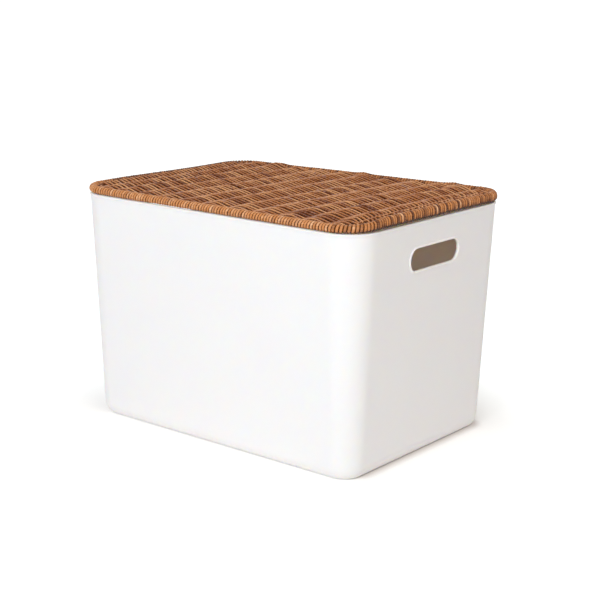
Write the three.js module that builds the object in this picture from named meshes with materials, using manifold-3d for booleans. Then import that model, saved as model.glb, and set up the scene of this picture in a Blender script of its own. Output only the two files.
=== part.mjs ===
// Storage box: a moulded plastic tub and the woven rattan lid that lies on its rim.
// Millimetres. +Z is up, +X runs along the length, and the origin is the middle of the base.

import * as THREE from 'three';
import { mergeVertices } from 'three/addons/utils/BufferGeometryUtils.js';
import Module from 'manifold-3d';

const wasm = await Module();
wasm.setup();

// Tub: outer sizes at the rim, and what the moulding has
const TUB_LENGTH = 360;
const TUB_WIDTH = 260;
const TUB_HEIGHT = 240;
const TUB_CORNER_RADIUS = 33;
const TUB_WALL = 2.5;
const TUB_FLOOR = 3;
const WALL_LEAN = 10.6; // how far each wall comes in from the rim to the base
const BASE_FILLET = 9.6;
const FOOT_WIDTH = 7;
const FOOT_DEPTH = 1.6; // how far the middle of the base is raised inside the foot
const SLOT_LENGTH = 81;
const SLOT_HEIGHT = 21.6;
const SLOT_CORNER_RADIUS = 10;
const SLOT_DROP = 36.8; // from the rim down to the middle of the slot
const LEAST_CORNER_RADIUS = 6; // of the foot and the floor, seen from above
const LIP_WIDTH = 2.4; // the raised edge round each slot
const LIP_RISE = 0.8;

// Lid: its place on the rim and its border
const LID_OVERHANG = 1;
const LID_SHIFT_X = 1.2; // the lid lies loose, a little to the right and the front
const LID_SHIFT_Y = -1.8;
const BORDER_RADIUS = 4.2; // over the wrapping
const WRAP_THICKNESS = 1.1;
const WRAP_TURNS = 96;
const WRAP_GAP = 0.6;

// Lid: the rods and the strands woven over and under them
const STAKE_RADIUS = 1.8;
const CROSS_POLE_RADIUS = 2.4;
const CROSS_POLE_EVERY = 4; // every fourth rod, counted from the middle, is a cross pole
const STAKE_PITCH = 29.2;
const STRAND_WIDTH = 2.4;
const STRAND_THICKNESS = 2;
const STRAND_GAP = 0.5;
const ROWS_PER_WEAVER = 7;

// Clearance between pieces that touch on the real box
const FIT = 0.3;

// How finely round stretches are cut
const CORNER_STEPS = 8;
const FILLET_STEPS = 5;
const RIM_STEPS = 6;
const ROD_SIDES = 8;
const WRAP_STEPS = 8;

const plastic = new THREE.MeshStandardMaterial({ color: 0xf4f2ef, roughness: 0.45, metalness: 0 });
const rattan = new THREE.MeshStandardMaterial({ color: 0xb07845, roughness: 0.6, metalness: 0 });
const rattanCore = new THREE.MeshStandardMaterial({ color: 0x9a6238, roughness: 0.65, metalness: 0 });

// Joins rings of equal counts into one closed surface. Each ring runs anticlockwise about the way
// the rings travel. A closed run meets its own start, and an open one is capped at both ends.
function skin(rings, closed) {
  const count = rings[0].length;
  const index = [];
  const spans = closed ? rings.length : rings.length - 1;
  for (let i = 0; i < spans; i++) {
    const a = i * count;
    const b = ((i + 1) % rings.length) * count;
    for (let j = 0; j < count; j++) {
      const k = (j + 1) % count;
      index.push(a + j, a + k, b + k, a + j, b + k, b + j);
    }
  }
  if (!closed) {
    const last = (rings.length - 1) * count;
    for (let j = 1; j < count - 1; j++) {
      index.push(0, j + 1, j);
      index.push(last, last + j, last + j + 1);
    }
  }
  const geometry = new THREE.BufferGeometry().setFromPoints(rings.flat());
  geometry.setIndex(index);
  geometry.computeVertexNormals();
  return geometry;
}

// A closed geometry as a solid that can be joined and cut.
function solid(geometry) {
  const bare = geometry.clone();
  bare.deleteAttribute('normal');
  bare.deleteAttribute('uv');
  const merged = mergeVertices(bare);
  const vertProperties = new Float32Array(merged.attributes.position.array);
  const triVerts = new Uint32Array(merged.index.array);
  return new wasm.Manifold(new wasm.Mesh({ numProp: 3, vertProperties, triVerts }));
}

function geometryOf(body) {
  const mesh = body.getMesh();
  const geometry = new THREE.BufferGeometry();
  geometry.setAttribute('position', new THREE.BufferAttribute(mesh.vertProperties, 3));
  geometry.setIndex(new THREE.BufferAttribute(mesh.triVerts, 1));
  geometry.computeVertexNormals();
  return geometry;
}

function piece(name, geometry, material) {
  const mesh = new THREE.Mesh(geometry, material);
  mesh.name = name;
  return mesh;
}

const numbered = (name, n) => `${name}_${String(n).padStart(2, '0')}`;

// Tub

// How far the outer wall has come in from the rim's outline at height z.
const wallInset = (z) => (WALL_LEAN * (TUB_HEIGHT - z)) / TUB_HEIGHT;

// The tub's outline at height z, drawn in from the rim's outline by inset.
function tubRing(inset, z) {
  const radius = Math.max(TUB_CORNER_RADIUS - inset, LEAST_CORNER_RADIUS);
  const cx = TUB_LENGTH / 2 - inset - radius;
  const cy = TUB_WIDTH / 2 - inset - radius;
  const ring = [];
  const corners = [[1, 1], [-1, 1], [-1, -1], [1, -1]];
  corners.forEach(([sx, sy], quarter) => {
    for (let i = 0; i <= CORNER_STEPS; i++) {
      const angle = ((quarter + i / CORNER_STEPS) * Math.PI) / 2;
      const x = sx * cx + radius * Math.cos(angle);
      const y = sy * cy + radius * Math.sin(angle);
      ring.push(new THREE.Vector3(x, y, z));
    }
  });
  return ring;
}

// From the middle of the base out to the foot, up the wall, over the rim and down to the floor.
function tubShell() {
  const footOuter = WALL_LEAN + BASE_FILLET;
  const footInner = footOuter + FOOT_WIDTH;
  const rings = [tubRing(footInner + FOOT_DEPTH, FOOT_DEPTH), tubRing(footInner, 0)];
  for (let i = 0; i <= FILLET_STEPS; i++) {
    const angle = ((i / FILLET_STEPS) * Math.PI) / 2;
    const z = BASE_FILLET * (1 - Math.cos(angle));
    rings.push(tubRing(wallInset(z) + BASE_FILLET * (1 - Math.sin(angle)), z));
  }
  const rimRadius = TUB_WALL / 2;
  for (let i = 0; i <= RIM_STEPS; i++) {
    const angle = (i / RIM_STEPS) * Math.PI;
    const z = TUB_HEIGHT - rimRadius + rimRadius * Math.sin(angle);
    rings.push(tubRing(wallInset(z) + rimRadius * (1 - Math.cos(angle)), z));
  }
  const innerFillet = BASE_FILLET - TUB_WALL;
  const floor = FOOT_DEPTH + TUB_FLOOR;
  for (let i = 0; i <= FILLET_STEPS; i++) {
    const angle = ((i / FILLET_STEPS) * Math.PI) / 2;
    const z = floor + innerFillet * (1 - Math.sin(angle));
    rings.push(tubRing(wallInset(z) + TUB_WALL + innerFillet * (1 - Math.cos(angle)), z));
  }
  return skin(rings, false);
}

// A hand slot's outline grown by margin, extruded by depth.
function slotBlock(margin, depth) {
  const w = SLOT_LENGTH / 2 + margin;
  const h = SLOT_HEIGHT / 2 + margin;
  const roundest = 0.48 * SLOT_HEIGHT;
  const r = Math.min(SLOT_CORNER_RADIUS, roundest) + margin;
  const outline = new THREE.Shape();
  outline.absarc(w - r, h - r, r, 0, Math.PI / 2);
  outline.absarc(r - w, h - r, r, Math.PI / 2, Math.PI);
  outline.absarc(r - w, r - h, r, Math.PI, 1.5 * Math.PI);
  outline.absarc(w - r, r - h, r, 1.5 * Math.PI, 2 * Math.PI);
  return new THREE.ExtrudeGeometry(outline, { depth, bevelEnabled: false, curveSegments: 6 });
}

function tubGeometry() {
  const slotZ = TUB_HEIGHT - SLOT_DROP;
  const lean = Math.atan2(WALL_LEAN, TUB_HEIGHT);
  const across = new THREE.Vector3(0, 1, 0);
  const upWall = new THREE.Vector3(Math.sin(lean), 0, Math.cos(lean));
  const outOfWall = new THREE.Vector3(Math.cos(lean), 0, -Math.sin(lean));
  const wallFace = new THREE.Vector3(TUB_LENGTH / 2 - wallInset(slotZ), 0, slotZ);

  // The lip starts in the middle of the wall, and the cut runs well past both of the wall's faces.
  const onWall = new THREE.Matrix4().makeBasis(across, upWall, outOfWall);
  const lip = slotBlock(LIP_WIDTH, TUB_WALL / 2 + LIP_RISE).applyMatrix4(onWall);
  const lipStart = wallFace.clone().addScaledVector(outOfWall, -TUB_WALL / 2);
  lip.translate(lipStart.x, lipStart.y, lipStart.z);
  const reach = 4 * (TUB_WALL + LIP_RISE);
  const cut = slotBlock(0, 2 * reach).applyMatrix4(onWall);
  const cutStart = wallFace.clone().addScaledVector(outOfWall, -reach);
  cut.translate(cutStart.x, cutStart.y, cutStart.z);

  let body = solid(tubShell());
  for (const turn of [0, Math.PI]) {
    body = body.add(solid(lip.clone().rotateZ(turn)));
    body = body.subtract(solid(cut.clone().rotateZ(turn)));
  }
  return geometryOf(body);
}

// Lid border

const lidHalfLength = TUB_LENGTH / 2 + LID_OVERHANG;
const lidHalfWidth = TUB_WIDTH / 2 + LID_OVERHANG;
const lidCornerRadius = TUB_CORNER_RADIUS + LID_OVERHANG;

// The border pole's centre line, anticlockwise from the middle of the back.
function borderLine() {
  const a = lidHalfLength - BORDER_RADIUS;
  const b = lidHalfWidth - BORDER_RADIUS;
  const r = lidCornerRadius - BORDER_RADIUS;
  const line = new THREE.Path();
  line.moveTo(0, b);
  line.lineTo(r - a, b);
  line.absarc(r - a, b - r, r, Math.PI / 2, Math.PI);
  line.lineTo(-a, r - b);
  line.absarc(r - a, r - b, r, Math.PI, 1.5 * Math.PI);
  line.lineTo(a - r, -b);
  line.absarc(a - r, r - b, r, 1.5 * Math.PI, 2 * Math.PI);
  line.lineTo(a, b - r);
  line.absarc(a - r, b - r, r, 0, Math.PI / 2);
  line.lineTo(0, b);
  return line;
}

const line = borderLine();
const lineLength = line.getLength();
const wrapPitch = lineLength / WRAP_TURNS;
const wrapHalfWidth = (wrapPitch - WRAP_GAP) / 2;
const wrapInner = BORDER_RADIUS - WRAP_THICKNESS;

// The strand's straight width cuts across the lid's corners by this much.
const cornerLineRadius = lidCornerRadius - BORDER_RADIUS;
const wrapBow = (cornerLineRadius + wrapInner) * (1 - Math.cos(wrapHalfWidth / cornerLineRadius));

// The pole fills the wrapping as far as that lets it.
const poleRadius = wrapInner * Math.cos(Math.PI / WRAP_STEPS) - wrapBow - FIT;

// A point at radius and angle round the line: angle 0 faces outwards, and a quarter turn faces up.
function pointRound(along, radius, angle) {
  const u = THREE.MathUtils.euclideanModulo(along / lineLength, 1);
  const centre = line.getPoint(u);
  const way = line.getTangent(u);
  const out = radius * Math.cos(angle);
  const up = radius * Math.sin(angle);
  return new THREE.Vector3(centre.x + out * way.y, centre.y - out * way.x, up);
}

function poleGeometry() {
  const rings = [];
  let start = 0;
  for (const curve of line.curves) {
    const length = curve.getLength();
    const steps = curve.isEllipseCurve ? CORNER_STEPS : 1;
    for (let i = 0; i < steps; i++) {
      const ring = [];
      for (let j = 0; j < ROD_SIDES; j++) {
        const angle = (-2 * Math.PI * j) / ROD_SIDES;
        ring.push(pointRound(start + (length * i) / steps, poleRadius, angle));
      }
      rings.push(ring);
    }
    start += length;
  }
  return skin(rings, true);
}

// One flat strand wound round the pole, turn beside turn, from the middle of the back all the way
// round. Its two ends meet one step apart.
function wrapGeometry() {
  const rings = [];
  for (let i = 0; i < WRAP_TURNS * WRAP_STEPS; i++) {
    const along = wrapHalfWidth + (wrapPitch * i) / WRAP_STEPS;
    const angle = (2 * Math.PI * i) / WRAP_STEPS;
    rings.push([
      pointRound(along - wrapHalfWidth, wrapInner, angle),
      pointRound(along - wrapHalfWidth, BORDER_RADIUS, angle),
      pointRound(along + wrapHalfWidth, BORDER_RADIUS, angle),
      pointRound(along + wrapHalfWidth, wrapInner, angle),
    ]);
  }
  let least = Infinity;
  for (let i = 0; i < rings.length; i++) {
    for (let step = WRAP_STEPS - 1; step <= WRAP_STEPS + 1; step++) {
      const next = rings[(i + step) % rings.length];
      for (const p of rings[i]) {
        for (const q of next) {
          least = Math.min(least, p.distanceTo(q));
        }
      }
    }
  }
  console.log(`lid_border_wrap: least gap between turns ${least.toFixed(2)} mm`);
  return skin(rings, false);
}

// Lid panel, inside the border

const panelHalfLength = lidHalfLength - 2 * BORDER_RADIUS;
const panelHalfWidth = lidHalfWidth - 2 * BORDER_RADIUS;
const panelCornerRadius = lidCornerRadius - 2 * BORDER_RADIUS;

// How far the panel reaches along one axis, at a distance off the other axis, inside the border.
function reachAt(half, otherHalf, off) {
  const intoCorner = Math.abs(off) - (otherHalf - panelCornerRadius);
  if (intoCorner <= 0) return half - FIT;
  const corner = panelCornerRadius - wrapBow;
  return half - panelCornerRadius + Math.sqrt(Math.max(corner ** 2 - intoCorner ** 2, 0)) - FIT;
}

const rowPitch = STRAND_WIDTH + STRAND_GAP;
const rowCount = Math.floor((2 * (panelHalfWidth - FIT) + STRAND_GAP) / rowPitch);
const rowY = (row) => (row - (rowCount - 1) / 2) * rowPitch;

// A strand bends back round a rod in two straight steps, so its turn is wider than the rod.
const turnRadius = (STAKE_RADIUS + FIT) / Math.cos(Math.PI / 4) + STRAND_THICKNESS / 2;
const turnReach = turnRadius + STRAND_THICKNESS / 2;
const edgeX = panelHalfLength - FIT - turnReach;

// Where a row, or two rows together, turn back at an end: round the edge stake, or in the lid's
// rounded corners round the last rod, as far out as the border lets them.
function turnAt(row, otherRow = row) {
  const off = Math.max(Math.abs(rowY(row)), Math.abs(rowY(otherRow))) + STRAND_WIDTH / 2;
  const x = reachAt(panelHalfLength, panelHalfWidth, off) - turnReach;
  return { x, roundEdge: x > edgeX - FIT / 2 };
}

// A row's way along X, and where it starts and ends. Each weaver turns from one row into the next.
function rowRun(row) {
  const place = row % ROWS_PER_WEAVER;
  const isFirst = place === 0;
  const isLast = place === ROWS_PER_WEAVER - 1 || row === rowCount - 1;
  const way = place % 2 === 0 ? 1 : -1;
  const start = turnAt(row, isFirst ? row : row - 1);
  const end = turnAt(row, isLast ? row : row + 1);
  return { way, start, end, isLast };
}

// The rods inside the edge stakes, counted both ways from the middle of the lid. Even the outermost
// row turns back outside the last of them.
const lastRodX = Math.min(turnAt(0).x, edgeX - STAKE_PITCH / 2);
const rodsEachWay = Math.floor(lastRodX / STAKE_PITCH);
const rods = [];
for (let k = -rodsEachWay; k <= rodsEachWay; k++) {
  const isPole = k % CROSS_POLE_EVERY === 0;
  rods.push({ x: k * STAKE_PITCH, isPole, radius: isPole ? CROSS_POLE_RADIUS : STAKE_RADIUS });
}

// Height of a strand's middle where it passes over a rod, with room for its slope on both sides.
const shortestSpan = Math.min(STAKE_PITCH, edgeX - rodsEachWay * STAKE_PITCH);
const steepest = Math.atan2(2 * (CROSS_POLE_RADIUS + STRAND_THICKNESS), shortestSpan);
const riseOver = (radius) => (radius + FIT) / Math.cos(steepest) + STRAND_THICKNESS / 2;

function rodMesh(name, x, radius, halfLength) {
  const rod = new THREE.CylinderGeometry(radius, radius, 2 * halfLength, ROD_SIDES);
  const mesh = piece(name, rod, rattanCore);
  mesh.position.x = x;
  return mesh;
}

// An edge stake ends short of the first rows that turn back inside it. Side is 1 at the right end.
function edgeHalfLength(side) {
  let half = panelHalfWidth - FIT;
  for (let row = 0; row < rowCount; row++) {
    const run = rowRun(row);
    const turn = run.way === side ? run.end : run.start;
    if (!turn.roundEdge) half = Math.min(half, Math.abs(rowY(row)) - STRAND_WIDTH / 2 - FIT);
  }
  return half;
}

// One strand, snaking over and under the rods from its first row to its last.
function weaverGeometry(firstRow, lastRow) {
  const rings = [];
  // Adds the strand's four corners at a point. The normal lies in the XZ plane and stays on one
  // side of the strand, so it points up on the way out and down on the way back.
  const add = (x, y, z, normalX, normalZ) => {
    const ring = [[1, -1], [1, 1], [-1, 1], [-1, -1]].map(([side, face]) => {
      const outX = (face * normalX * STRAND_THICKNESS) / 2;
      const outY = (side * STRAND_WIDTH) / 2;
      const outZ = (face * normalZ * STRAND_THICKNESS) / 2;
      return new THREE.Vector3(x + outX, y + outY, z + outZ);
    });
    rings.push(ring);
  };
  for (let row = firstRow; row <= lastRow; row++) {
    const { way, start, end, isLast } = rowRun(row);
    const y = rowY(row);
    const over = (k) => ((row + k) % 2 === 0 ? 1 : -1);
    const startSide = over(rodsEachWay + (start.roundEdge ? 1 : 0));
    const endSide = over(rodsEachWay + (end.roundEdge ? 1 : 0));

    add(-way * start.x, y, startSide * turnRadius, 0, way);
    for (let n = -rodsEachWay; n <= rodsEachWay; n++) {
      const rod = rods[way * n + rodsEachWay];
      add(rod.x, y, over(n) * riseOver(rod.radius), 0, way);
    }
    add(way * end.x, y, endSide * turnRadius, 0, way);
    if (!isLast) {
      add(way * (end.x + turnRadius), y + rowPitch / 2, 0, endSide, 0);
    }
  }
  return skin(rings, false);
}

// Assembly

const box = new THREE.Group();
box.add(piece('tub', tubGeometry(), plastic));

const lid = new THREE.Group();
lid.position.set(LID_SHIFT_X, LID_SHIFT_Y, TUB_HEIGHT + FIT + BORDER_RADIUS);
box.add(lid);

lid.add(piece('lid_border_pole', poleGeometry(), rattanCore));
lid.add(piece('lid_border_wrap', wrapGeometry(), rattan));

let poles = 0;
let stakes = 0;
for (const rod of rods) {
  const name = rod.isPole ? numbered('lid_cross_pole', ++poles) : numbered('lid_stake', ++stakes);
  const halfLength = reachAt(panelHalfWidth, panelHalfLength, Math.abs(rod.x) + rod.radius);
  lid.add(rodMesh(name, rod.x, rod.radius, halfLength));
}
lid.add(rodMesh('lid_edge_stake_left', -edgeX, STAKE_RADIUS, edgeHalfLength(-1)));
lid.add(rodMesh('lid_edge_stake_right', edgeX, STAKE_RADIUS, edgeHalfLength(1)));

let weavers = 0;
for (let row = 0; row < rowCount; row += ROWS_PER_WEAVER) {
  const lastRow = Math.min(row + ROWS_PER_WEAVER, rowCount) - 1;
  lid.add(piece(numbered('lid_weaver', ++weavers), weaverGeometry(row, lastRow), rattan));
}

export default box;
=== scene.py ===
import math

import bmesh
import bpy
from mathutils import Matrix, Vector, noise


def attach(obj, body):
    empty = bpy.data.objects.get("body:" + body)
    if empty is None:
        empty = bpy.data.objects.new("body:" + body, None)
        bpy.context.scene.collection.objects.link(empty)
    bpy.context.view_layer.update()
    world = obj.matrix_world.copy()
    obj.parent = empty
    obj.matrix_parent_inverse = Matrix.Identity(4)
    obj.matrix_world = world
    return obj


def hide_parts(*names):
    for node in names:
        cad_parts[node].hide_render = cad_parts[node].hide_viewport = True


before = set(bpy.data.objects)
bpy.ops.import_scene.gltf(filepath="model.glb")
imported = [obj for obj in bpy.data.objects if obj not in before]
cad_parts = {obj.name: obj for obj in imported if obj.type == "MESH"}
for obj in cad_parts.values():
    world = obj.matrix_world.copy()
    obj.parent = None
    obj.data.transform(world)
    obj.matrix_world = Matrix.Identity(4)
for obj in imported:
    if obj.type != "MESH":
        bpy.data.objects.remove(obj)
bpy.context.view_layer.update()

# Tub
# The open box itself, one injection moulding in white polypropylene. Its walls lean out to a rounded rim,
# and its floor is raised inside a flat foot. Each short end has a hand slot with a rolled lip.
tub_half_length = 0.180
tub_half_width = 0.130
tub_height = 0.240
tub_corner = 0.033
tub_wall = 0.0025
tub_lean = 0.0106
base_fillet = 0.0092
base_fillet_rise = 0.0140
inner_fillet = 0.0068
foot_width = 0.007
foot_depth = 0.0016
foot_corner = 0.006
foot_edge_round = 0.0004
foot_edge_rise = 0.0003
floor_thickness = 0.003
rim_bead = 0.0007
rim_bead_depth = 0.0034
rim_bead_steps = 5
rim_outer_round = 0.0016
rim_inner_round = 0.0008
slot_half_length = 0.0406
slot_half_height = 0.0108
slot_corner = 0.0100
slot_drop = 0.0368
slot_cut_depth = 0.02
lip_half_width = 0.0014
lip_half_depth = 0.0019
lip_rise = 0.0011
lip_tone = 0.5
sharp_crease = math.radians(50)
duller_white = (0.930, 0.875, 0.846, 1.0)
brighter_white = (0.948, 0.893, 0.864, 1.0)


def rounded_sheet(half_length, half_width, corner, steps):
    """A flat sheet with rounded corners, one face round the origin."""
    sheet = bmesh.new()
    bmesh.ops.create_grid(sheet, x_segments=1, y_segments=1, size=1.0)
    bmesh.ops.scale(sheet, vec=(half_length, half_width, 1.0), verts=sheet.verts)
    bmesh.ops.bevel(sheet, geom=sheet.verts[:], offset=corner, offset_type="OFFSET", segments=steps,
                    profile=0.5, affect="VERTICES", material=-1)
    return sheet


def bent_stick(path, sides, closed=False):
    """A straight round stick with one ring for each stop of the path, bent onto it ring by ring.
    A stop is the middle, the half width and half thickness as vectors, and the tone of the strand there."""
    stick = bmesh.new()
    bmesh.ops.create_cone(stick, cap_ends=not closed, segments=sides, radius1=1.0, radius2=1.0, depth=1.0)
    long_edges = [e for e in stick.edges if abs(e.verts[0].co.z - e.verts[1].co.z) > 0.5]
    bmesh.ops.subdivide_edges(stick, edges=long_edges, cuts=len(path) - 2)
    run = [0.0]
    for before, after in zip(path, path[1:]):
        run.append(run[-1] + (after[0] - before[0]).length)
    tone = stick.verts.layers.float.new("tone")
    places = {}
    for v in stick.verts:
        stop = round((v.co.z + 0.5) * (len(path) - 1))
        places[v] = (run[stop], math.atan2(v.co.y, v.co.x) / math.tau)
        middle, across, through, v[tone] = path[stop]
        v.co = middle + across * v.co.x + through * v.co.y
    grain = stick.loops.layers.uv.new("grain")
    for face in stick.faces:
        turns = [places[loop.vert][1] for loop in face.loops]
        crosses_seam = len(face.loops) == 4 and max(turns) - min(turns) > 0.5
        for loop, turn in zip(face.loops, turns):
            loop[grain].uv = (places[loop.vert][0], turn + 1.0 if crosses_seam and turn < 0 else turn)
    if closed:
        bmesh.ops.remove_doubles(stick, verts=stick.verts, dist=1e-6)
    bmesh.ops.recalc_face_normals(stick, faces=stick.faces)
    return stick


def settle(shape, name, material=None):
    """Turns a finished bmesh into a smooth object at the origin."""
    mesh = bpy.data.meshes.new(name)
    for face in shape.faces:
        face.smooth = True
    shape.to_mesh(mesh)
    shape.free()
    made = bpy.data.objects.new(name, mesh)
    bpy.context.scene.collection.objects.link(made)
    if material:
        mesh.materials.append(material)
    return made


def ease(share):
    """From 0 to 1 with no kink at either end."""
    share = min(max(share, 0.0), 1.0)
    return share * share * (3.0 - 2.0 * share)


def quarter_turn(steps):
    """The stops of a quarter circle: one share that grows from 0 to 1, and one that shrinks from 1 to 0."""
    for step in range(steps + 1):
        angle = math.radians(90 * step / steps)
        yield 1.0 - math.cos(angle), 1.0 - math.sin(angle)


def wall_inset(z):
    """How far the leaning wall stands in from the rim at a height."""
    return tub_lean * (1.0 - z / tub_height)


# The outline travels from under the base to the foot, up the wall, over the rim and down to the floor.
foot_outer = tub_lean + base_fillet
foot_inner = foot_outer + foot_width
floor_level = foot_depth + floor_thickness
outline = [
    (foot_inner + foot_depth, foot_depth),
    (foot_inner + foot_edge_round, foot_edge_rise),
    (foot_inner - foot_edge_round, 0.0),
]
for growing, shrinking in quarter_turn(steps=12):
    z = base_fillet_rise * growing
    outline.append((wall_inset(z) + base_fillet * shrinking, z))
for step in range(rim_bead_steps):
    share = step / rim_bead_steps
    z = tub_height - rim_bead_depth + (rim_bead_depth - rim_outer_round) * share
    outline.append((wall_inset(z) - rim_bead * ease(share), z))
for growing, shrinking in quarter_turn(steps=7):
    z = tub_height - rim_outer_round * shrinking
    outline.append((wall_inset(z) - rim_bead + rim_outer_round * growing, z))
for growing, shrinking in quarter_turn(steps=4):
    z = tub_height - rim_inner_round * growing
    outline.append((wall_inset(z) + tub_wall - rim_inner_round * shrinking, z))
for growing, shrinking in quarter_turn(steps=10):
    z = floor_level + inner_fillet * shrinking
    outline.append((wall_inset(z) + tub_wall + inner_fillet * growing, z))

shell = rounded_sheet(tub_half_length, tub_half_width, tub_corner, steps=20)
cap = shell.faces[:][0]
core_x = tub_half_length - tub_corner
core_y = tub_half_width - tub_corner
facing = []
for v in cap.verts:
    side = Vector((math.copysign(1.0, v.co.x), math.copysign(1.0, v.co.y), 0.0))
    facing.append((side, (v.co - Vector((side.x * core_x, side.y * core_y, 0.0))).normalized()))
for stop, (inset, z) in enumerate(outline):
    if stop:
        grown = bmesh.ops.extrude_face_region(shell, geom=[cap, *cap.edges, *cap.verts])
        cap = next(g for g in grown["geom"] if isinstance(g, bmesh.types.BMFace))
    corner = max(tub_corner - inset, foot_corner)
    for v, (side, way) in zip(cap.verts, facing):
        v.co.x = side.x * (tub_half_length - inset - corner) + way.x * corner
        v.co.y = side.y * (tub_half_width - inset - corner) + way.y * corner
        v.co.z = z
bmesh.ops.recalc_face_normals(shell, faces=shell.faces)
tub = settle(shell, "box_tub")

# Each slot is cut through the leaning end wall, and a rolled lip covers the cut edge.
slot_height = tub_height - slot_drop
lean_angle = math.atan2(tub_lean, tub_height)
on_wall = Matrix.Translation((tub_half_length - wall_inset(slot_height), 0.0, slot_height)) @ Matrix((
    (0.0, math.sin(lean_angle), math.cos(lean_angle), 0.0),
    (1.0, 0.0, 0.0, 0.0),
    (0.0, math.cos(lean_angle), -math.sin(lean_angle), 0.0),
    (0.0, 0.0, 0.0, 1.0),
))
cuts = bmesh.new()
lips = bmesh.new()
for turn in (0.0, math.pi):
    place = Matrix.Rotation(turn, 4, "Z") @ on_wall
    opening = rounded_sheet(slot_half_length + lip_half_width, slot_half_height + lip_half_width,
                            slot_corner + lip_half_width, steps=10)
    edge = [v.co.copy() for v in opening.faces[:][0].verts]
    path = []
    for i in range(len(edge) + 1):
        along = (edge[(i + 1) % len(edge)] - edge[(i - 1) % len(edge)]).normalized()
        outwards = along.cross(Vector((0.0, 0.0, 1.0)))
        middle = edge[i % len(edge)] + Vector((0.0, 0.0, lip_rise - lip_half_depth))
        path.append((middle, outwards * lip_half_width, Vector((0.0, 0.0, lip_half_depth)), lip_tone))
    lip = bent_stick(path, sides=14, closed=True)
    lip.transform(place)
    block = bmesh.ops.extrude_face_region(opening, geom=opening.faces[:])
    raised = [g for g in block["geom"] if isinstance(g, bmesh.types.BMVert)]
    bmesh.ops.translate(opening, vec=(0.0, 0.0, slot_cut_depth), verts=raised)
    bmesh.ops.translate(opening, vec=(0.0, 0.0, -slot_cut_depth / 2), verts=opening.verts)
    bmesh.ops.recalc_face_normals(opening, faces=opening.faces)
    opening.transform(place)
    for part, whole in ((lip, lips), (opening, cuts)):
        passed = bpy.data.meshes.new("passed")
        part.to_mesh(passed)
        part.free()
        whole.from_mesh(passed)
        bpy.data.meshes.remove(passed)
helpers = {"DIFFERENCE": settle(cuts, "slot_cuts"), "UNION": settle(lips, "slot_lips")}
for operation, helper in helpers.items():
    joint = tub.modifiers.new(helper.name, "BOOLEAN")
    joint.object = helper
    joint.operation = operation
    joint.solver = "EXACT"
bpy.context.view_layer.update()
moulded = bpy.data.meshes.new_from_object(tub.evaluated_get(bpy.context.evaluated_depsgraph_get()))
tub.modifiers.clear()
tub.data = moulded
moulded.name = "box_tub"
for helper in helpers.values():
    bpy.data.objects.remove(helper)
for polygon in moulded.polygons:
    polygon.use_smooth = True
moulded.set_sharp_from_angle(angle=sharp_crease)
even = tub.modifiers.new("even_shading", "WEIGHTED_NORMAL")
even.keep_sharp = True


def new_finish(name):
    """An empty material, its node tree and its shader."""
    material = bpy.data.materials.new(name)
    material.use_nodes = True
    return material, material.node_tree, material.node_tree.nodes["Principled BSDF"]


def add_node(tree, kind, inputs=(), **settings):
    """One node in a tree: inputs take a value or another node's socket."""
    made = tree.nodes.new(kind)
    for setting, value in settings.items():
        setattr(made, setting, value)
    for socket, value in dict(inputs).items():
        if isinstance(value, bpy.types.NodeSocket):
            tree.links.new(value, made.inputs[socket])
        else:
            made.inputs[socket].default_value = value
    return made


def speckle(tree, place, scale, detail, roughness=0.5):
    """A cloudy noise from 0 to 1."""
    return add_node(tree, "ShaderNodeTexNoise", {
        "Vector": place, "Scale": scale, "Detail": detail, "Roughness": roughness,
    }).outputs["Fac"]


def rescale(tree, value, low, high, result_low=0.0, result_high=1.0, smooth=False):
    """Turns a value between low and high into a result, which is held beyond both ends."""
    return add_node(tree, "ShaderNodeMapRange", {
        "Value": value, "From Min": low, "From Max": high, "To Min": result_low, "To Max": result_high,
    }, interpolation_type="SMOOTHSTEP" if smooth else "LINEAR").outputs["Result"]


def mix_colours(tree, share, first, second):
    """From the first colour to the second. The node's colour sockets can only be told by their numbers."""
    return add_node(tree, "ShaderNodeMix", {0: share, 6: first, 7: second}, data_type="RGBA").outputs[2]


plastic, tree, shader = new_finish("white_polypropylene")
on_tub = add_node(tree, "ShaderNodeTexCoord").outputs["Object"]
cloud = speckle(tree, on_tub, scale=14.0, detail=3.0)
spark = speckle(tree, on_tub, scale=1900.0, detail=2.0)
whites = mix_colours(tree, cloud, duller_white, brighter_white)
gloss = rescale(tree, spark, 0.3, 0.7, 0.40, 0.50)
grained = add_node(tree, "ShaderNodeBump", {"Height": spark, "Strength": 0.25, "Distance": 0.00005})
tree.links.new(whites, shader.inputs["Base Color"])
tree.links.new(gloss, shader.inputs["Roughness"])
tree.links.new(grained.outputs["Normal"], shader.inputs["Normal"])
shader.inputs["Subsurface Weight"].default_value = 0.6
shader.inputs["Subsurface Radius"].default_value = (1.0, 0.62, 0.36)
shader.inputs["Subsurface Scale"].default_value = 0.010
shader.inputs["IOR"].default_value = 1.49
moulded.materials.clear()
moulded.materials.append(plastic)
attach(tub, "tub_body")
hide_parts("tub")

# Border pole
# The bent rattan pole that frames the lid. Its two ends are scarfed together at the back, and the
# wrapping hides it apart from the chinks between the turns.
lid_middle = Vector((0.0012, -0.0018, 0.2445))
lid_half_length = 0.181
lid_half_width = 0.131
lid_corner = 0.034
spring_height = 0.0031
spring_loss_at_back = 0.35
sag_depth = 0.0009
border_radius = 0.0042
border_slimming = 0.17
border_stoutness = 0.13
border_girth_waver = 0.03
border_run_x = lid_half_length - lid_corner
border_run_y = lid_half_width - lid_corner
border_turn = lid_corner - border_radius
border_length = 4.0 * (border_run_x + border_run_y) + math.tau * border_turn
border_pole_radius = 0.0021
border_pole_stops = 220
border_pole_tone = 0.35
# Painted shadow: the near-black brown that very low tone turns to, in the gap under the sprung lid and the
# deepest troughs.
painted_shadow_colour = (0.016, 0.006, 0.003, 1.0)


def ramp(value, start, width):
    """Eases from 0 to 1 while a value passes from start across a width."""
    return ease((value - start) / width)


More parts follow.
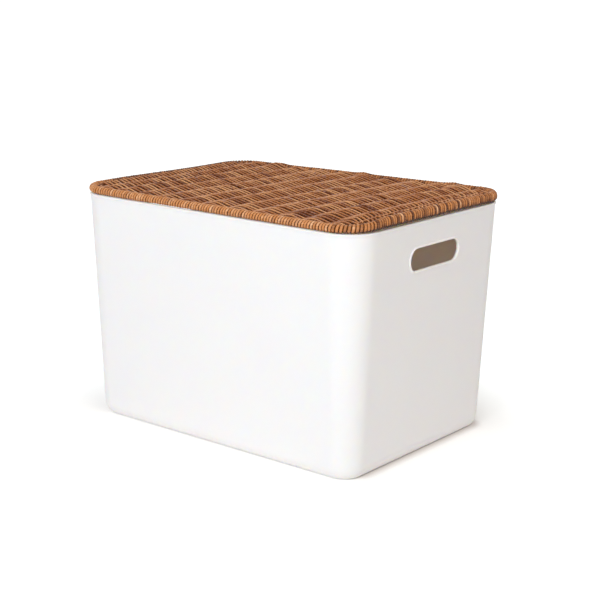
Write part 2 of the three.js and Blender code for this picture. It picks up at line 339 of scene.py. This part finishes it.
def unevenness(*place):
    """Hand work: a slow change between -1 and 1 from place to place, the same on every run."""
    return noise.noise(Vector(place))


def lid_spring(x, y):
    """How far the dried and twisted lid has sprung up off the rim at its right end."""
    across = ramp(y, -0.131, 0.055) * (1.0 - spring_loss_at_back * ramp(y, 0.02, 0.09))
    return spring_height * ramp(x, -0.03, 0.20) * across


def on_lid(x, y, z):
    """A point of the lid in the frame, on the twisted lid, whose left back corner also sags a little."""
    sag = sag_depth * ramp(-x, 0.01, 0.13) * ramp(y, -0.07, 0.12)
    return lid_middle + Vector((x, y, z + lid_spring(x, y) - sag))


def border_at(run):
    """The border's centre line, run metres anticlockwise from the middle of the back: point and heading."""
    run = run % border_length
    point = Vector((0.0, lid_half_width - border_radius))
    heading = math.pi
    for straight in (border_run_x, 2 * border_run_y, 2 * border_run_x, 2 * border_run_y, border_run_x):
        step = min(run, straight)
        point += step * Vector((math.cos(heading), math.sin(heading)))
        run -= step
        turn = min(run, border_turn * math.pi / 2)
        centre = point + border_turn * Vector((-math.sin(heading), math.cos(heading)))
        heading += turn / border_turn
        point = centre - border_turn * Vector((-math.sin(heading), math.cos(heading)))
        run -= turn
    return point, heading


def border_girth(run):
    """How stout the border is there: it is slimmer at the back left and stouter at the right end."""
    point = border_at(run)[0]
    slim = border_slimming * ramp(-point.x, 0.01, 0.13) * ramp(point.y, -0.08, 0.12)
    stout = border_stoutness * ramp(point.x, 0.12, 0.05) * ramp(point.y, -0.11, 0.05)
    return 1.0 - slim + stout + border_girth_waver * unevenness(run * 31.0, 4.7, 0.0)


path = []
for stop in range(border_pole_stops + 1):
    run = border_length * stop / border_pole_stops
    point, heading = border_at(run)
    outwards = Vector((math.sin(heading), -math.cos(heading), 0.0))
    radius = border_pole_radius * border_girth(run)
    path.append((on_lid(point.x, point.y, 0.0), outwards * radius, Vector((0.0, 0.0, radius)),
                 border_pole_tone))

# One grain for all the rattan. Strand is the place along and round a strand, and Tone is its shade: its own
# tone, with painted shade and highlight added on the wrap and the weavers.
grain_group = bpy.data.node_groups.new("rattan_grain", "ShaderNodeTree")
for way, kind, names in (
    ("INPUT", "NodeSocketColor", ("Deep", "Middle", "Pale", "Ashy")),
    ("INPUT", "NodeSocketFloat", ("Tone",)),
    ("INPUT", "NodeSocketVector", ("Strand", "Place")),
    ("OUTPUT", "NodeSocketColor", ("Color",)),
    ("OUTPUT", "NodeSocketFloat", ("Roughness", "Height", "Wax")),
):
    for name in names:
        grain_group.interface.new_socket(name=name, in_out=way, socket_type=kind)
given = grain_group.nodes.new("NodeGroupInput").outputs
result = grain_group.nodes.new("NodeGroupOutput").inputs


def calculate(tree, operation, *values):
    """One step of arithmetic on numbers."""
    return add_node(tree, "ShaderNodeMath", enumerate(values), operation=operation).outputs["Value"]


def calculate_vector(tree, operation, *values):
    """One step of arithmetic on vectors."""
    return add_node(tree, "ShaderNodeVectorMath", enumerate(values), operation=operation).outputs["Vector"]


def stretched(*scale):
    """The place on a strand, stretched, and moved far off from strand to strand."""
    return calculate_vector(grain_group, "MULTIPLY_ADD", given["Strand"], scale, shift)


# Fine fibres, slow drifts and ashy stretches along a strand, and patches that neighbouring strands share.
shift = add_node(grain_group, "ShaderNodeVectorMath", {
    0: (37.0, 11.0, 83.0), "Scale": given["Tone"],
}, operation="SCALE").outputs["Vector"]
fibre = speckle(grain_group, stretched(45.0, 7.0, 1.0), scale=1.0, detail=4.0, roughness=0.65)
drift = speckle(grain_group, stretched(24.0, 0.3, 1.0), scale=1.0, detail=2.0)
ash = speckle(grain_group, stretched(13.0, 0.2, 1.0), scale=1.0, detail=1.0)
patch = speckle(grain_group, given["Place"], scale=34.0, detail=2.0)
shade = -0.585
for value, weight in ((given["Tone"], 0.60), (drift, 0.75), (patch, 0.24), (fibre, 0.55)):
    shade = calculate(grain_group, "MULTIPLY_ADD", value, weight, shade)

# A strand's top and underside are waxed and get no painted shade. Its flanks, where it lies against its
# neighbours, get painted shade, less where it drifts pale.
around = add_node(grain_group, "ShaderNodeSeparateXYZ", {0: given["Strand"]}).outputs["Y"]
around = calculate(grain_group, "SINE", calculate(grain_group, "MULTIPLY", around, math.tau))
top_or_underside = calculate(grain_group, "ABSOLUTE", around)
flank_painted_shade = rescale(grain_group, top_or_underside, 0.20, 0.86, 1.0, 0.0, smooth=True)
flank_shade_share = rescale(grain_group, drift, 0.38, 0.60, 1.0, 0.55)
flank_shade = calculate(grain_group, "MULTIPLY", flank_painted_shade, flank_shade_share)
# Tone pushed very low by painted shade turns to the near-black painted shadow colour.
out_of_painted_shadow = rescale(grain_group, shade, -0.70, -0.30, smooth=True)
to_middle = rescale(grain_group, shade, -0.15, 0.50, smooth=True)
to_pale = rescale(grain_group, shade, 0.48, 0.88, smooth=True)
to_ashy = rescale(grain_group, ash, 0.52, 0.68, 0.0, 0.7)
deep = mix_colours(grain_group, out_of_painted_shadow, painted_shadow_colour, given["Deep"])
colour = mix_colours(grain_group, to_middle, deep, given["Middle"])
colour = mix_colours(grain_group, to_pale, colour, given["Pale"])
colour = mix_colours(grain_group, to_ashy, colour, given["Ashy"])
colour = mix_colours(grain_group, flank_shade, colour, deep)
wax = rescale(grain_group, top_or_underside, 0.60, 0.98, 0.0, 0.35, smooth=True)
rough = rescale(grain_group, fibre, 0.25, 0.75, 0.40, 0.62)
grain_group.links.new(colour, result["Color"])
grain_group.links.new(rough, result["Roughness"])
grain_group.links.new(fibre, result["Height"])
grain_group.links.new(wax, result["Wax"])


def rattan_finish(name, deep, middle, pale, ashy):
    """Stained rattan in one range of browns."""
    material, tree, shader = new_finish(name)
    grain = add_node(tree, "ShaderNodeGroup", node_tree=grain_group)
    for socket, brown in (("Deep", deep), ("Middle", middle), ("Pale", pale), ("Ashy", ashy)):
        grain.inputs[socket].default_value = (*brown, 1.0)
    sources = {
        "Tone": add_node(tree, "ShaderNodeAttribute", attribute_name="tone").outputs["Fac"],
        "Strand": add_node(tree, "ShaderNodeUVMap", uv_map="grain").outputs["UV"],
        "Place": add_node(tree, "ShaderNodeTexCoord").outputs["Object"],
    }
    for socket, source in sources.items():
        tree.links.new(source, grain.inputs[socket])
    fibres = add_node(tree, "ShaderNodeBump", {
        "Height": grain.outputs["Height"], "Strength": 0.5, "Distance": 0.0002,
    })
    shader.inputs["Specular IOR Level"].default_value = 0.12
    shader.inputs["Coat Roughness"].default_value = 0.35
    tree.links.new(grain.outputs["Wax"], shader.inputs["Coat Weight"])
    tree.links.new(grain.outputs["Color"], shader.inputs["Base Color"])
    tree.links.new(grain.outputs["Roughness"], shader.inputs["Roughness"])
    tree.links.new(fibres.outputs["Normal"], shader.inputs["Normal"])
    return material


rod_rattan = rattan_finish(
    "smoked_rattan_rod",
    deep=(0.045, 0.012, 0.003),
    middle=(0.13, 0.043, 0.012),
    pale=(0.24, 0.095, 0.035),
    ashy=(0.14, 0.07, 0.045),
)
border_pole = settle(bent_stick(path, sides=10, closed=True), "border_pole", rod_rattan)
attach(border_pole, "lid_body")
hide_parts("lid_border_pole")

# Border wrap
# One long strand of split rattan wound round the pole, turn against turn, from the middle of the back
# all the way round. The turns fan out at the corners and ride up over the back ends of the cross poles.
wrap_turns = 342
wrap_steps = 12
wrap_half_width = 0.00150
wrap_half_thickness = 0.00125
wrap_run_waver = 0.0005
wrap_girth_waver = 0.035
wrap_size_waver = 0.10
wrap_slant = 0.0008
right_end_lumps = 1.2
right_end_hang = 0.6
back_hang = 0.0013
corner_run = 0.006
corner_spread = 0.12
rod_pitch = 0.0292
cross_pole_places = (-4, 0, 4)
hump_height = 0.0013
hump_reach = 0.008
wrap_tone = 0.62
right_tone_waver = 0.7
# Painted shade on the wrap: its ends, its back and its underside are painted darker, and over the gap under
# the sprung lid a painted shadow turns it near black.
right_end_painted_shade = 0.46
left_end_painted_shade = 0.95
back_painted_shade = 0.60
underside_painted_shade = 0.9
gap_painted_shadow = 2.0
dark_gap = 0.0022


def pole_hump(x):
    """How much of a hump there is over the end of a cross pole, from 0 to 1."""
    return max(math.exp(-((x - k * rod_pitch) / hump_reach) ** 2) for k in cross_pole_places)


path = []
for step in range(wrap_turns * wrap_steps + 1):
    turn = step / wrap_steps
    angle = math.tau * turn
    upper = max(math.sin(angle), 0.0)
    lower = max(-math.sin(angle), 0.0)
    run = border_length * turn / wrap_turns + wrap_run_waver * unevenness(turn * 0.45, 7.9, 0.0)
    point, heading = border_at(run)
    along = Vector((math.cos(heading), math.sin(heading), 0.0))
    outwards = Vector((math.sin(heading), -math.cos(heading), 0.0))
    radial = outwards * math.cos(angle) + Vector((0.0, 0.0, math.sin(angle)))

    # The winding is lumpier at the right end. There and at the back it hangs down below the sprung lid.
    lumps = 1.0 + right_end_lumps * ramp(point.x, 0.13, 0.04)
    girth = border_girth(run) * (1.0 + wrap_girth_waver * lumps * unevenness(turn * 0.9, 1.3, 0.0))
    radius = border_radius * girth - wrap_half_thickness
    if point.y > border_run_y:
        radius += hump_height * pole_hump(point.x) * upper
    spring = lid_spring(point.x, point.y)
    at_back = ramp(point.y, 0.105, 0.018)
    off_corner = 1.0 - ramp(abs(point.x), 0.13, 0.02)
    hang = max(right_end_hang * ramp(point.x, 0.12, 0.04), at_back)
    radius += (hang * spring + back_hang * at_back * off_corner) * lower

    # Along the front the turns slant, and at the corners they are pressed wider.
    slant = wrap_slant * ramp(-point.y, 0.10, 0.02) * (1.0 - ramp(abs(point.x), 0.12, 0.025))
    middle = on_lid(point.x, point.y, 0.0) + radial * radius + along * slant * math.sin(angle)
    size = 1.0 + wrap_size_waver * unevenness(turn * 0.7, 21.0, 0.0)
    fan = ramp(abs(point.x), border_run_x, corner_run) * ramp(abs(point.y), border_run_y, corner_run)
    width = along * wrap_half_width * size * (1.0 + corner_spread * fan)

    # The ends and the back get painted shade. The underside gets more painted shade still, most of all over
    # the gap, where a painted shadow turns it near black.
    past_front = ramp(point.y, -0.125, 0.06)
    right = ramp(point.x, 0.135, 0.03) * (0.8 + 0.2 * past_front)
    left = ramp(-point.x, 0.135, 0.03) * past_front
    behind = ramp(point.y, 0.085, 0.03)
    painted_shade = max(right_end_painted_shade * right, left_end_painted_shade * left, back_painted_shade * behind)
    painted_shade += underside_painted_shade * ease((lower - 0.7 + 0.35 * right) / 0.35)
    painted_shade += gap_painted_shadow * ramp(lower, 0.58, 0.25) * ease(spring / dark_gap)
    waver = 1.0 + right_tone_waver * right * past_front
    tone = wrap_tone - painted_shade + waver * unevenness(turn * 0.83, 33.0, 0.0)
    path.append((middle, width, radial * wrap_half_thickness * size, tone))
wrap_rattan = rattan_finish(
    "wrapping_rattan",
    deep=(0.080, 0.018, 0.003),
    middle=(0.555, 0.222, 0.067),
    pale=(0.78, 0.45, 0.245),
    ashy=(0.44, 0.22, 0.12),
)
border_wrap = settle(bent_stick(path, sides=8), "border_wrap", wrap_rattan)
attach(border_wrap, "lid_body")
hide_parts("lid_border_wrap")

# Rods
# Straight rattan rods across the lid: three stouter cross poles, eight thin stakes between them, and
# a thin stake beside each short end. Their ends are held inside the border.
panel_half_length = lid_half_length - 2 * border_radius
panel_half_width = lid_half_width - 2 * border_radius
panel_corner = lid_corner - 2 * border_radius
stake_radius = 0.0018
cross_pole_radius = 0.0024
edge_stake_x = 0.1679
edge_stake_gap = 0.012
rods_each_way = 5
rod_tuck = 0.001
rod_stops = 40
rod_shift = 0.0049
rod_crowding = 0.0062
rod_lean = 0.054
rod_waver = 0.0007
rod_radius_waver = 0.05
rod_tone = 0.4
rod_tone_waver = 0.3


def rod_x(k, y):
    """A rod's place along the lid. Woven by hand, the rods stand unevenly and lean right at the back."""
    waver = rod_waver * unevenness(k * 5.3, y * 16.0, 2.0)
    if abs(k) > rods_each_way:
        return math.copysign(edge_stake_x, k) + waver
    uneven = rod_shift + rod_crowding * math.sin(math.pi * k / 6.4)
    lean = rod_lean * math.cos(math.pi * k / 11)
    return k * rod_pitch + uneven + lean * y + waver


def rod_radius(k):
    """The radius of a rod by its number from the middle one."""
    return cross_pole_radius if k in cross_pole_places else stake_radius


def panel_reach(half, other_half, off):
    """How far the panel reaches along one axis inside the border, at a distance off the other axis."""
    into_corner = abs(off) - (other_half - panel_corner)
    if into_corner <= 0.0:
        return half
    return half - panel_corner + math.sqrt(max(panel_corner ** 2 - into_corner ** 2, 0.0))


counted = {"cross_pole": 0, "stake": 0}
for k in range(-rods_each_way - 1, rods_each_way + 2):
    if abs(k) > rods_each_way:
        name = "edge_stake_left" if k < 0 else "edge_stake_right"
        half = panel_half_width - edge_stake_gap
    else:
        kind = "cross_pole" if k in cross_pole_places else "stake"
        counted[kind] += 1
        name = f"{kind}_{counted[kind]:02d}"
        farthest = max(abs(rod_x(k, -panel_half_width)), abs(rod_x(k, panel_half_width)))
        half = panel_reach(panel_half_width, panel_half_length, farthest) + rod_tuck
    tone = rod_tone + rod_tone_waver * unevenness(k * 1.7, 0.0, 5.0)
    path = []
    for stop in range(rod_stops + 1):
        y = half * (2 * stop / rod_stops - 1.0)
        radius = rod_radius(k) * (1.0 + rod_radius_waver * unevenness(k * 3.1, y * 40.0, 8.0))
        path.append((on_lid(rod_x(k, y), y, 0.0), Vector((radius, 0.0, 0.0)), Vector((0.0, 0.0, radius)),
                     tone))
    rod = settle(bent_stick(path, sides=10), name, rod_rattan)
    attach(rod, "lid_body")
    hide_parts("lid_" + name)

# Weavers
# The long round strands that fill the lid. Each one runs over and under the rods for seven rows, and
# turns back round the outermost rod at each end, so that the rows lock against each other.
row_pitch = 0.0029
row_count = 84
rows_per_weaver = 7
strand_half_width = 0.00134
strand_half_thickness = 0.00112
crest_share = 0.17
tuck = 0.0022
tuck_height = 0.3
turn_room = 1.2
turn_squeeze = 0.0002
span_steps = 10
turn_steps = 6
bow_waver = 0.26
quick_sway = 0.00035
slow_sway = 0.00060
strand_size_waver = 0.16
weave_tone = 0.53
weave_tone_waver = 1.6
# Painted shade: the right half of the weave and the strands dipping under the rods are painted darker. The
# crests are painted paler, partly wear and partly painted highlight.
right_half_painted_shade = 0.07
crest_wear_and_highlight = 0.07
trough_painted_shade = 0.17
weave_rattan = rattan_finish(
    "weaving_rattan",
    deep=(0.115, 0.025, 0.003),
    middle=(0.455, 0.173, 0.053),
    pale=(0.69, 0.347, 0.150),
    ashy=(0.39, 0.22, 0.19),
)


def crest_to_trough(share):
    """From 0 to 1 with a short round bend at each end and a straight run between."""
    slope = 1.0 / (1.0 - crest_share)
    if share < crest_share:
        return 0.5 * slope * share * share / crest_share
    if share > 1.0 - crest_share:
        return 1.0 - 0.5 * slope * (1.0 - share) ** 2 / crest_share
    return slope * (share - 0.5 * crest_share)


def row_y(row):
    """A row's place across the lid, counted from the front."""
    return (row - (row_count - 1) / 2) * row_pitch


def row_end(row, other_row):
    """Where a row ends, and whether it turns there round the edge stake into the other row.
    In a corner it runs on into the border instead, and comes back out of it as the other row."""
    reach = [panel_reach(panel_half_length, panel_half_width, abs(row_y(r))) for r in (row, other_row)]
    if min(reach) - stake_radius - turn_room * strand_half_thickness > edge_stake_x - turn_squeeze:
        return edge_stake_x, True
    return reach[0] + tuck, False


turn_height = stake_radius + strand_half_thickness
end_heights = {True: turn_height, False: tuck_height * turn_height}
for number in range(row_count // rows_per_weaver):
    first = number * rows_per_weaver
    last = first + rows_per_weaver - 1
    line = []
    for row in range(first, last + 1):
        way = 1 if (row - first) % 2 == 0 else -1
        y = row_y(row)
        start_x, start_round = row_end(row, max(row - 1, first))
        end_x, end_round = row_end(row, min(row + 1, last))
        end_side = 1 if (row + rods_each_way + 1) % 2 == 0 else -1
        stations = [(-way * start_x, end_side * end_heights[start_round])]
        for n in range(-rods_each_way, rods_each_way + 1):
            over = 1 if (row + n) % 2 == 0 else -1
            bow = 1.0 + bow_waver * unevenness(row * 0.61, way * n * 2.9, 11.0)
            stations.append((rod_x(way * n, y), over * (rod_radius(way * n) + strand_half_thickness) * bow))
        stations.append((way * end_x, end_side * end_heights[end_round]))
        for (x0, z0), (x1, z1) in zip(stations, stations[1:]):
            steps = max(2, round(span_steps * abs(x1 - x0) / rod_pitch))
            for step in range(steps):
                share = step / steps
                line.append((x0 + (x1 - x0) * share, y, z0 + (z1 - z0) * crest_to_trough(share), row))
        x0, z0 = stations[-1]
        line.append((x0, y, z0, row))
        if row < last and end_round:
            for step in range(1, turn_steps):
                share = step / turn_steps
                angle = math.pi * share
                line.append((x0 + way * abs(z0) * math.sin(angle), y + row_pitch * ease(share),
                             z0 * math.cos(angle), row + share))
    path = []
    for stop, (x, y, z, row) in enumerate(line):
        before = line[max(stop - 1, 0)]
        after = line[min(stop + 1, len(line) - 1)]
        slope = Vector((after[0] - before[0], 0.0, after[2] - before[2])).normalized()
        up = Vector((-slope.z, 0.0, slope.x))
        sway = quick_sway * unevenness(x * 19.0, row * 1.9, 15.0)
        sway += slow_sway * unevenness(x * 7.0, row * 0.55, 17.0)
        size = 1.0 + strand_size_waver * unevenness(x * 9.0, row * 3.7, 27.0)
        # Painted shade: darker the deeper a strand dips and towards the right; paler over the crests, from
        # wear and painted highlight.
        wear_and_painted_shade = (crest_wear_and_highlight if z > 0.0 else trough_painted_shade) * z / strand_half_thickness
        tone = weave_tone - right_half_painted_shade * ramp(x, -0.06, 0.14) + wear_and_painted_shade
        tone += weave_tone_waver * unevenness(row * 1.37, x * 13.0, 41.0)
        z += hump_height * pole_hump(x) * ramp(y, 0.100, 0.016)
        path.append((on_lid(x, y + sway, z), Vector((0.0, strand_half_width * size, 0.0)),
                     up * strand_half_thickness * size, tone))
    weaver = settle(bent_stick(path, sides=8), f"weaver_{number + 1:02d}", weave_rattan)
    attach(weaver, "lid_body")
    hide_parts(f"lid_weaver_{number + 1:02d}")

# Studio
# A white sweep under soft light: a large lamp in front, a smaller warm one at the right, and an even white
# surround. The floor keeps its shadow close to the box, and is lifted to pure white further off.
sweep_half_size = 30.0
floor_white = (0.93, 0.93, 0.93, 1.0)
floor_white_seen = (0.80, 0.80, 0.80, 1.0)
shadow_middle = (0.0, 0.0085, 0.0)
shadow_half_size = (0.150, 0.0915, 0.0)
shadow_end = 0.0175
near_white = 0.0265
far_white = 0.20
near_strength = 0.27
far_strength = 0.50
camera_target = Vector((0.0, 0.0, 0.12))
camera_distance = 1.4863
azimuth = math.radians(38.971)
elevation = math.radians(14.405)
roll = math.radians(0.536)


def seen_directly(tree):
    """Whether the camera sees a surface itself, or mirrored, or through something clear."""
    ray = add_node(tree, "ShaderNodeLightPath").outputs
    direct = calculate(tree, "MAXIMUM", ray["Is Camera Ray"], ray["Is Transmission Ray"])
    return calculate(tree, "MAXIMUM", direct, ray["Is Glossy Ray"])


white, tree, shader = new_finish("white_sweep")
seen = seen_directly(tree)
on_floor = add_node(tree, "ShaderNodeTexCoord").outputs["Object"]
beside = calculate_vector(tree, "SUBTRACT", on_floor, shadow_middle)
beside = calculate_vector(tree, "ABSOLUTE", beside)
beside = calculate_vector(tree, "SUBTRACT", beside, shadow_half_size)
beside = calculate_vector(tree, "MAXIMUM", beside, (0.0, 0.0, 0.0))
distance = add_node(tree, "ShaderNodeVectorMath", {0: beside}, operation="LENGTH").outputs["Value"]
near_lift = rescale(tree, distance, shadow_end, near_white, 0.0, near_strength)
far_lift = rescale(tree, distance, near_white, far_white, 0.0, far_strength)
lift = calculate(tree, "MULTIPLY", seen, calculate(tree, "ADD", near_lift, far_lift))
tree.links.new(mix_colours(tree, seen, floor_white, floor_white_seen), shader.inputs["Base Color"])
tree.links.new(lift, shader.inputs["Emission Strength"])
shader.inputs["Emission Color"].default_value = (0.88, 0.98, 1.0, 1.0)
shader.inputs["Roughness"].default_value = 0.9
shader.inputs["Specular IOR Level"].default_value = 0.1
floor_shape = bmesh.new()
bmesh.ops.create_grid(floor_shape, x_segments=1, y_segments=1, size=sweep_half_size)
floor = settle(floor_shape, "studio_floor", white)

world = bpy.data.worlds.new("white_surround")
bpy.context.scene.world = world
world.use_nodes = True
tree = world.node_tree
lighting = tree.nodes["Background"]
lighting.inputs["Color"].default_value = (1.0, 0.908, 0.884, 1.0)
lighting.inputs["Strength"].default_value = 0.512
backdrop = add_node(tree, "ShaderNodeBackground", {"Color": (1.0, 1.0, 1.0, 1.0), "Strength": 1.0})
choose = add_node(tree, "ShaderNodeMixShader", {
    0: seen_directly(tree), 1: lighting.outputs[0], 2: backdrop.outputs[0],
})
tree.links.new(choose.outputs[0], tree.nodes["World Output"].inputs["Surface"])


def lamp(name, place, aim, size, power, colour):
    """A soft square lamp at a place, turned towards its aim."""
    light = bpy.data.lights.new(name, "AREA")
    light.size = size
    light.energy = power
    light.color = colour
    holder = bpy.data.objects.new(name, light)
    holder.location = place
    holder.rotation_euler = (Vector(place) - Vector(aim)).to_track_quat("Z", "Y").to_euler()
    bpy.context.scene.collection.objects.link(holder)


lamp("key_lamp", place=(0.75, -2.2, 1.4), aim=(0.0, 0.0, 0.12), size=1.4, power=40.1,
     colour=(0.92, 0.953, 0.972))
lamp("top_lamp", place=(1.50, -0.65, 1.80), aim=(0.0, 0.0, 0.20), size=1.0, power=7.9,
     colour=(1.0, 0.87, 0.66))

outwards = Vector((math.sin(azimuth), -math.cos(azimuth), 0.0))
back = outwards * math.cos(elevation) + Vector((0.0, 0.0, math.sin(elevation)))
level = Vector((math.cos(azimuth), math.sin(azimuth), 0.0))
right = level * math.cos(roll) + back.cross(level) * math.sin(roll)
up = back.cross(right)
eye = camera_target + back * camera_distance
lens = bpy.data.cameras.new("camera")
lens.sensor_width = 36.0
lens.lens = 84.82
lens.shift_x = 0.01699
lens.shift_y = 0.01373
camera = bpy.data.objects.new("camera", lens)
camera.matrix_world = Matrix((
    (right.x, up.x, back.x, eye.x),
    (right.y, up.y, back.y, eye.y),
    (right.z, up.z, back.z, eye.z),
    (0.0, 0.0, 0.0, 1.0),
))
bpy.context.scene.collection.objects.link(camera)
bpy.context.scene.camera = camera
bpy.context.scene.view_settings.view_transform = "Standard"
